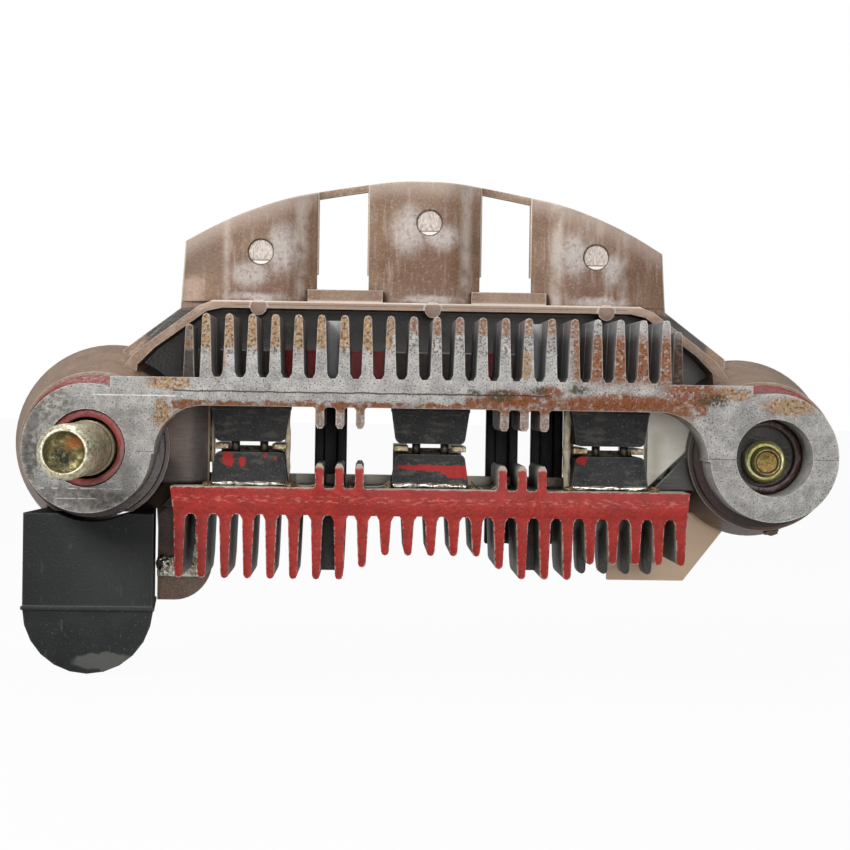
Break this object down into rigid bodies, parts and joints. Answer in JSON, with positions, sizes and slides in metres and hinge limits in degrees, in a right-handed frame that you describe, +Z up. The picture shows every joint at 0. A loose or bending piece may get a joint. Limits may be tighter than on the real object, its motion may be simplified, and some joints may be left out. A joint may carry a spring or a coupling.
{
  "type": "alternator rectifier",
  "caption": "Alternator rectifier: grey and red finned heat sinks with diodes soldered between them on a brown moulded board with a scalloped air baffle, battery stud and plug socket.",
  "frame": {"origin": "on the battery stud's axis, in the front face of the left ear", "axes": "+X along the row of fins towards the right ear, +Y from the finned front to the back, +Z up"},
  "size_m": [0.1364, 0.06, 0.0784],
  "materials": {
    "cast_aluminium": "sand-cast, stained",
    "red_painted_cast": "red paint on cast aluminium",
    "brown_moulding": "semi-gloss brown thermoset",
    "dark_red_fibre": "fibre board",
    "diode_epoxy": "black epoxy",
    "black_moulding": "matt black",
    "tinned_copper": "tinned",
    "copper_strap": "dull",
    "zinc_steel": "yellow zinc, worn"
  },
  "bodies": {
    "root": {"negative_heat_sink": "cast_aluminium", "positive_heat_sink": "red_painted_cast", "terminal_board": "brown_moulding", "battery_bus": "copper_strap", "sense_strap": "tinned_copper", "battery_stud": "zinc_steel", "clamp_bolt": "zinc_steel", "collar_nut": "zinc_steel", "stud_insulator": "dark_red_fibre", "clamp_insulator": "dark_red_fibre", "connector_housing": "black_moulding", "upper_blade": "tinned_copper", "lower_blade": "tinned_copper", "fibre_plate_left": "dark_red_fibre", "fibre_plate_right": "dark_red_fibre", "negative_diode_left": "diode_epoxy", "positive_diode_left": "diode_epoxy", "lead_wires_left": "tinned_copper", "phase_terminal_left": "tinned_copper", "lead_guide_left": "black_moulding", "negative_diode_middle": "diode_epoxy", "positive_diode_middle": "diode_epoxy", "lead_wires_middle": "tinned_copper", "phase_terminal_middle": "tinned_copper", "lead_guide_middle": "black_moulding", "negative_diode_right": "diode_epoxy", "positive_diode_right": "diode_epoxy", "lead_wires_right": "tinned_copper", "phase_terminal_right": "tinned_copper", "lead_guide_right": "black_moulding"}
  },
  "joints": []
}
